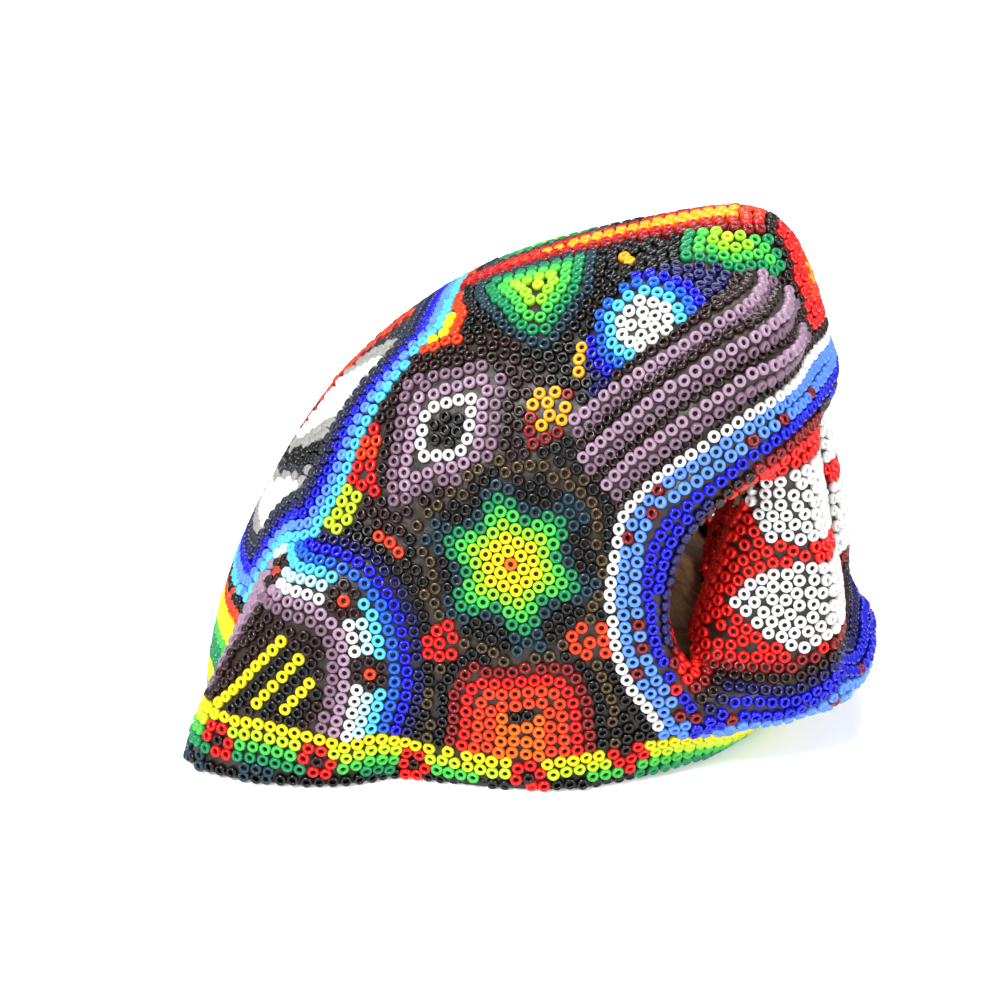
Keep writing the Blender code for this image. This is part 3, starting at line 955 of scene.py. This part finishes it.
def colourFor(place, node, row):
    kind = motifOf(node)
    rows = motifs[kind]["rows"]
    if row < 0:
        return motifs[kind]["edge"]["rows"][-1 - row]
    if kind == "star":
        for limit, name in zip(starWork["bands"], rows):
            if row < limit:
                return name
        return "black"
    if kind == "field":
        if starEdge.find(place)[2] < beside["star"]:
            return "bronze"
        if beside["jewel"][0] < jewelEdge.find(place)[2] < beside["jewel"][1]:
            return "bronze"
        if diamondEdge.find(place)[2] < beside["diamond"]:
            return "darkBrown"
    if kind == "lip":
        return lipColour(place, row)
    if kind == "upper_fang" and lipFangEdge.find(place)[2] < beside["lip"]:
        return "red"
    if kind == "cheek_flower":
        low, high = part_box(node)
        off = math.hypot(place.x - (low.x + high.x) / 2, place.z - (low.z + high.z) / 2)
        return rows[1] if off < flowerHeart else rows[0]
    if kind == "gum" and place.x < fangFront and gumFangEdge.find(place)[2] < beside["fang"]:
        return "white"
    if kind == "ear" and row >= len(rows):
        return stripeColour(place)
    if kind == "bridge":
        share = (place.x - headLow.x) / headSize.x
        if share > bridgeWork["dark"]:
            return "black"
        low, high = bridgeWork["amber"]
        if row >= bridgeWork["middle"] and not low < share < high:
            return "orangeRed"
    if kind == "crown" and row >= crownWork["inside"]:
        return crownColour(place, row)
    return rows[min(int(row), len(rows) - 1)]


colours = [colourFor(place, node, row) for place, node, row in placed]


# the beads nearest a place, on both sides of the head
def paintNearest(kind, along, up, counts, names):
    x, z = sharePoint(along, up)
    for side in (-1, 1):
        ranked = []
        for k, (place, node, _) in enumerate(placed):
            if motifOf(node) == kind and place.y * side > 0:
                ranked.append((math.hypot(place.x - x, place.z - z), k))
        ranked.sort()
        middle = placed[ranked[0][1]][0]
        close = sorted(((placed[k][0] - middle).length, k) for _, k in ranked[:closeBeads])
        first = 0
        for count, name in zip(counts, names):
            for _, k in close[first:first + count]:
                colours[k] = name
            first += count


dots = (   # motif, along, up, how many beads of each colour, colours
    ("field", 0.636, 0.915, (2,), ("amber",)),
    ("field", 0.574, 0.783, (3,), ("amber",)),
    ("field", 0.322, 0.440, (3,), ("orangeRed",)),
    ("field", 0.392, 0.272, (8,), ("red",)),
    ("field", 0.612, 0.290, (8,), ("orangeRed",)),
    ("field", 0.258, 0.610, (4, 7), ("orangeRed", "red")),
    ("field", 0.236, 0.520, (6,), ("yellowGreen",)),
    ("field", 0.222, 0.485, (4,), ("yellowGreen",)),
    ("jewel", 0.505, 0.155, (2,), ("black",)),
)
earFlowers = ((0.278, 0.355), (0.302, 0.221), (0.159, 0.363))   # along, up
rimFlowers = ((0.09, 0.071), (0.233, 0.05), (0.363, 0.045), (0.519, 0.03), (0.655, 0.075))
lipDots = (   # along, up, slope in degrees: three beads, two pitches apart
    (0.681, 0.540, 56), (0.664, 0.289, -82), (0.757, 0.145, -4), (0.933, 0.116, 34), (0.847, 0.679, 27),
)
for kind, along, up, counts, names in dots:
    paintNearest(kind, along, up, counts, names)
for along, up in earFlowers:
    paintNearest("ear", along, up, (1, 6), ("orangeRed", "darkBrown"))
for along, up, slope in lipDots:
    for k in (-1, 0, 1):
        reach = 2 * bead["pitch"] * k
        right = reach * math.cos(math.radians(slope)) / headSize.x
        above = reach * math.sin(math.radians(slope)) / headSize.z
        paintNearest("lip", along + right, up + above, (1,), ("darkRed",))
for along, up in rimFlowers:
    paintNearest("rim", along, up, (1, 6), ("darkBrown", "red"))
print("colours chosen")


def makeBeadShape():
    bm = bmesh.new()
    half = (bead["across"] - bead["hole"]) / 4
    middle = (bead["across"] + bead["hole"]) / 4
    ring = bmesh.ops.create_circle(bm, segments=bead["section"], radius=1)
    bmesh.ops.scale(bm, verts=ring["verts"], vec=(half, bead["tall"] / 2, 1))
    bmesh.ops.rotate(bm, verts=ring["verts"], matrix=Matrix.Rotation(math.pi / 2, 3, "X"))
    bmesh.ops.translate(bm, verts=ring["verts"], vec=(middle, 0, 0))
    bmesh.ops.spin(
        bm, geom=bm.verts[:] + bm.edges[:], cent=(0, 0, 0), axis=(0, 0, 1),
        angle=2 * math.pi, steps=bead["sides"], use_merge=True, use_duplicate=False,
    )
    bmesh.ops.remove_doubles(bm, verts=bm.verts, dist=1e-6)
    bmesh.ops.recalc_face_normals(bm, faces=bm.faces)
    for face in bm.faces:
        face.smooth = True
    shape = bpy.data.meshes.new("beadShape")
    bm.to_mesh(shape)
    bm.free()
    return shape


beadShape = makeBeadShape()
shapeSpots = pointsOf(beadShape)
print("one bead:", len(beadShape.vertices), "points,", len(beadShape.polygons), "faces")


def beadGroup(node, material):
    bm = bmesh.new()
    tints = []
    for (place, owner, _), colour in zip(placed, colours):
        if owner != node:
            continue
        up = normalAt(place)
        lean = Vector((random.gauss(0, 1), random.gauss(0, 1), random.gauss(0, 1))) * bead["lean"]
        turn = (up + lean).to_track_quat("Z", "Y").to_matrix() @ Matrix.Rotation(random.random(), 3, "Z")
        size = 1 + random.uniform(*bead["sizes"])
        at = place + up * (bead["rise"] + random.uniform(*bead["depths"]))
        moved = shapeSpots @ (np.array(turn).T * size) + np.array(at)
        moved[:, 2] += max(0, bead["table"] - moved[:, 2].min())
        beadShape.vertices.foreach_set("co", moved.ravel())
        bm.from_mesh(beadShape)
        r, g, b, lustre = glass[colour]
        shade = 1 + random.uniform(-1, 1) * bead["shade"]
        tints.append((linear(r) * shade, linear(g) * shade, linear(b) * shade, lustre))
    words = node.split("_")
    name = words[0] + "".join(w.capitalize() for w in words[1:])
    piece = newPiece(name, bm)
    tint = piece.data.attributes.new("beadTint", "FLOAT_COLOR", "POINT")
    tint.data.foreach_set("color", np.repeat(np.array(tints), len(shapeSpots), axis=0).ravel())
    piece.data.shade_smooth()
    piece.data.materials.append(material)
    print(name, len(tints), "beads,", len(piece.data.polygons) * 2, "triangles")
    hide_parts(node)
    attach(piece, "root")
    return piece


# uneven spots, for anything that is not the same all over
def makeMottle():
    group = bpy.data.node_groups.new("mottle", "ShaderNodeTree")
    for name in ("Size", "Low", "High"):
        group.interface.new_socket(name, in_out="INPUT", socket_type="NodeSocketFloat")
    group.interface.new_socket("Value", in_out="OUTPUT", socket_type="NodeSocketFloat")
    nodes, links = group.nodes, group.links
    enter = nodes.new("NodeGroupInput")
    leave = nodes.new("NodeGroupOutput")
    coords = nodes.new("ShaderNodeTexCoord")
    noise = nodes.new("ShaderNodeTexNoise")
    noise.inputs["Detail"].default_value = 3
    spread = nodes.new("ShaderNodeMapRange")
    spread.inputs["From Min"].default_value = 0.3
    spread.inputs["From Max"].default_value = 0.7
    links.new(coords.outputs["Object"], noise.inputs["Vector"])
    links.new(enter.outputs["Size"], noise.inputs["Scale"])
    links.new(noise.outputs["Fac"], spread.inputs["Value"])
    links.new(enter.outputs["Low"], spread.inputs["To Min"])
    links.new(enter.outputs["High"], spread.inputs["To Max"])
    links.new(spread.outputs["Result"], leave.inputs["Value"])
    return group


mottle = makeMottle()


def addMottle(tree, size, low, high):
    node = tree.nodes.new("ShaderNodeGroup")
    node.node_tree = mottle
    for name, value in (("Size", size), ("Low", low), ("High", high)):
        node.inputs[name].default_value = value
    return node.outputs["Value"]


def newMaterial(name):
    made = bpy.data.materials.new(name)
    made.use_nodes = True
    return made, made.node_tree, made.node_tree.nodes["Principled BSDF"]


def mixColours(tree, factor, first, second, blend="MIX"):
    node = tree.nodes.new("ShaderNodeMix")
    node.data_type = "RGBA"
    node.blend_type = blend
    for socket, value in ((node.inputs[0], factor), (node.inputs[6], first), (node.inputs[7], second)):
        if isinstance(value, (int, float)):
            socket.default_value = value
        elif isinstance(value, tuple):
            socket.default_value = (*value, 1)
        else:
            tree.links.new(value, socket)
    return node.outputs[2]


def addBump(tree, shader, height, strength, distance):
    bump = tree.nodes.new("ShaderNodeBump")
    bump.inputs["Strength"].default_value = strength
    bump.inputs["Distance"].default_value = distance
    tree.links.new(height, bump.inputs["Height"])
    tree.links.new(bump.outputs["Normal"], shader.inputs["Normal"])


glassFinish = {   # spots: how fine they are, least, most
    "cloud": (1300, 0.84, 1.04),
    "rough": (700, 0.16, 0.34),
    "dimples": (1900, 0, 1),
    "dimpleStrength": 0.12,
    "dimpleDepth": 0.00006,
    "specular": 0.35,
    "coat": 0.25,
    "coatRough": 0.08,
}


def beadMaterial():
    made, tree, shader = newMaterial("seedBeadGlass")
    tint = tree.nodes.new("ShaderNodeAttribute")
    tint.attribute_name = "beadTint"
    cloud = addMottle(tree, *glassFinish["cloud"])
    colour = mixColours(tree, 1, tint.outputs["Color"], cloud, "MULTIPLY")
    tree.links.new(colour, shader.inputs["Base Color"])
    tree.links.new(tint.outputs["Alpha"], shader.inputs["Metallic"])
    tree.links.new(addMottle(tree, *glassFinish["rough"]), shader.inputs["Roughness"])
    shader.inputs["Specular IOR Level"].default_value = glassFinish["specular"]
    shader.inputs["Coat Weight"].default_value = glassFinish["coat"]
    shader.inputs["Coat Roughness"].default_value = glassFinish["coatRough"]
    dimples = addMottle(tree, *glassFinish["dimples"])
    addBump(tree, shader, dimples, glassFinish["dimpleStrength"], glassFinish["dimpleDepth"])
    return made


beadGlass = beadMaterial()
for node in groupNodes:
    beadGroup(node, beadGlass)
print("bead groups made")

wax = {
    "lift": 0.00055,     # the beads sit this deep in it
    "thick": 0.0012,
    "dark": (0.011, 0.006, 0.004),
    "light": (0.035, 0.019, 0.012),
    "tone": (260, 0, 1),
    "rough": (420, 0.34, 0.6),
    "lumps": (500, 0, 1),
    "lumpStrength": 0.4,
    "lumpDepth": 0.0003,
}


def waxMaterial():
    made, tree, shader = newMaterial("darkWax")
    colour = mixColours(tree, addMottle(tree, *wax["tone"]), wax["dark"], wax["light"])
    tree.links.new(colour, shader.inputs["Base Color"])
    tree.links.new(addMottle(tree, *wax["rough"]), shader.inputs["Roughness"])
    addBump(tree, shader, addMottle(tree, *wax["lumps"]), wax["lumpStrength"], wax["lumpDepth"])
    return made


def makeWax():
    bm = bmesh.new()
    bm.from_mesh(facingSheet.data)
    bm.verts.ensure_lookup_table()
    for v, spot, normal in zip(bm.verts, spots, normals):
        v.co = Vector(spot + normal * wax["lift"])
    piece = newPiece("waxLayer", bm)
    thicken = piece.modifiers.new("thicken", "SOLIDIFY")
    thicken.thickness = wax["thick"]
    thicken.offset = -1
    settle(piece)
    piece.data.shade_smooth()
    piece.data.materials.append(waxMaterial())
    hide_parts("wax_coat")
    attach(piece, "root")


makeWax()
bpy.data.objects.remove(facingSheet)
print("wax laid")

wood = {
    "voxel": 0.0010,
    "smoothing": 5,
    "gouge": 0.0055,      # from one gouge mark to the next
    "depth": 0.00035,
    "pale": (0.40, 0.225, 0.10),
    "brown": (0.20, 0.10, 0.042),
    "grey": (0.13, 0.095, 0.065),
    "dirt": (55, 0, 0.75),
    "rough": (300, 0.55, 0.8),
    "grain": (60, 420, 700),         # how fine it is along, across and upward
    "grainEdges": (0.35, 0.65),
    "grainStrength": 0.35,
    "grainDepth": 0.0002,
    # the crack is not cut: it is a thin line of painted shade on the wood
    "crack": 0.0222,                 # its height
    "crackWide": 0.00022,            # to each side
    "crackBend": (130, -0.0022, 0.0022),
    "crackDark": (0.012, 0.007, 0.004),
}


def woodMaterial():
    made, tree, shader = newMaterial("carvedWood")
    nodes, links = tree.nodes, tree.links
    coords = nodes.new("ShaderNodeTexCoord")
    stretch = nodes.new("ShaderNodeMapping")
    stretch.inputs["Scale"].default_value = wood["grain"]
    links.new(coords.outputs["Object"], stretch.inputs["Vector"])
    grain = nodes.new("ShaderNodeTexNoise")
    grain.inputs["Scale"].default_value = 1
    grain.inputs["Detail"].default_value = 5
    grain.inputs["Distortion"].default_value = 0.6
    links.new(stretch.outputs["Vector"], grain.inputs["Vector"])
    sharp = nodes.new("ShaderNodeMapRange")
    sharp.inputs["From Min"].default_value = wood["grainEdges"][0]
    sharp.inputs["From Max"].default_value = wood["grainEdges"][1]
    links.new(grain.outputs["Fac"], sharp.inputs["Value"])
    colour = mixColours(tree, sharp.outputs["Result"], wood["pale"], wood["brown"])
    colour = mixColours(tree, addMottle(tree, *wood["dirt"]), colour, wood["grey"])
    # the crack line: painted shade mixed over the wood colour along a bent level
    parts = nodes.new("ShaderNodeSeparateXYZ")
    links.new(coords.outputs["Object"], parts.inputs["Vector"])
    bend = nodes.new("ShaderNodeMath")
    bend.operation = "ADD"
    links.new(parts.outputs["Z"], bend.inputs[0])
    links.new(addMottle(tree, *wood["crackBend"]), bend.inputs[1])
    split = nodes.new("ShaderNodeMath")
    split.operation = "COMPARE"
    split.inputs[1].default_value = wood["crack"]
    split.inputs[2].default_value = wood["crackWide"]
    links.new(bend.outputs[0], split.inputs[0])
    colour = mixColours(tree, split.outputs[0], colour, wood["crackDark"])
    links.new(colour, shader.inputs["Base Color"])
    links.new(addMottle(tree, *wood["rough"]), shader.inputs["Roughness"])
    addBump(tree, shader, sharp.outputs["Result"], wood["grainStrength"], wood["grainDepth"])
    return made


# overlapping gouge marks, cut inwards only
def cutGouges(data):
    bm = bmesh.new()
    bm.from_mesh(data)
    bm.normal_update()
    for v in bm.verts:
        if v.co.z < 0.002:
            continue
        a = v.co.x / wood["gouge"] + 0.35 * math.sin(v.co.z / 0.004)
        b = (v.co.z + 0.6 * v.co.y) / (1.6 * wood["gouge"]) + 0.5 * (math.floor(a) % 2)
        bowl = (2 * (a % 1) - 1) ** 2 * 0.7 + (2 * (b % 1) - 1) ** 2 * 0.3
        v.co -= v.normal * wood["depth"] * (1 - bowl)
    bm.to_mesh(data)
    bm.free()


def makeWood():
    bm = mergedCopy("wood_head")
    piece = newPiece("carvedHead", bm)
    even = piece.modifiers.new("even", "REMESH")
    even.mode = "VOXEL"
    even.voxel_size = wood["voxel"]
    soften = piece.modifiers.new("soften", "SMOOTH")
    soften.factor = 0.5
    soften.iterations = wood["smoothing"]
    settle(piece)
    cutGouges(piece.data)
    piece.data.shade_smooth()
    piece.data.materials.append(woodMaterial())
    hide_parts("wood_head")
    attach(piece, "root")


makeWood()
print("wood carved")

view = {
    "azimuth": 8,        # degrees from square on to the animal's right
    "elevation": 20,
    "distance": 0.450,
    "lens": 95.6,
    "sensor": 36,
    "aim": (-0.0078, 0, 0.0345),
}

studio = {
    "floor": (0.88, 0.88, 0.88),
    "floorSize": 3,
    "glow": 0.33,     # evens out the floor far from the lamps
    "room": (0.97, 0.98, 1.0),
    "strength": 0.66,
    "lampAim": (0, 0, 0.04),
    "lamps": (        # name, place, size, watts
        ("keyLight", (-0.30, -0.55, 0.60), 0.25, 6.3),
        ("fillLight", (0.60, -0.50, 0.35), 0.35, 3),
        ("topLight", (0.05, 0.20, 0.80), 0.35, 4),
    ),
}


def floorMaterial():
    made, tree, shader = newMaterial("paleFloor")
    pale = studio["floor"]
    darker = tuple(0.985 * c for c in pale)
    tree.links.new(mixColours(tree, addMottle(tree, 9, 0, 1), pale, darker), shader.inputs["Base Color"])
    shader.inputs["Roughness"].default_value = 0.7
    shader.inputs["Specular IOR Level"].default_value = 0.1
    shader.inputs["Emission Color"].default_value = (1, 1, 1, 1)
    shader.inputs["Emission Strength"].default_value = studio["glow"]
    return made


def makeStage():
    bm = bmesh.new()
    bmesh.ops.create_grid(bm, x_segments=1, y_segments=1, size=studio["floorSize"])
    floor = newPiece("floor", bm)
    floor.data.materials.append(floorMaterial())
    world = bpy.data.worlds.new("paleRoom")
    world.use_nodes = True
    air = world.node_tree.nodes["Background"]
    air.inputs["Color"].default_value = (*studio["room"], 1)
    air.inputs["Strength"].default_value = studio["strength"]
    bpy.context.scene.world = world
    for name, place, size, power in studio["lamps"]:
        lamp = bpy.data.lights.new(name, "AREA")
        lamp.size = size
        lamp.energy = power
        holder = bpy.data.objects.new(name, lamp)
        holder.location = place
        away = Vector(place) - Vector(studio["lampAim"])
        holder.rotation_euler = away.to_track_quat("Z", "Y").to_euler()
        bpy.context.scene.collection.objects.link(holder)


def makeCamera():
    a, e = math.radians(view["azimuth"]), math.radians(view["elevation"])
    back = Vector((math.sin(a) * math.cos(e), -math.cos(a) * math.cos(e), math.sin(e)))
    lens = bpy.data.cameras.new("camera")
    lens.lens = view["lens"]
    lens.sensor_width = view["sensor"]
    camera = bpy.data.objects.new("camera", lens)
    camera.location = Vector(view["aim"]) + back * view["distance"]
    camera.rotation_euler = back.to_track_quat("Z", "Y").to_euler()
    bpy.context.scene.collection.objects.link(camera)
    bpy.context.scene.camera = camera


makeStage()
makeCamera()
bpy.context.scene.view_settings.view_transform = "Standard"
print("stage set")
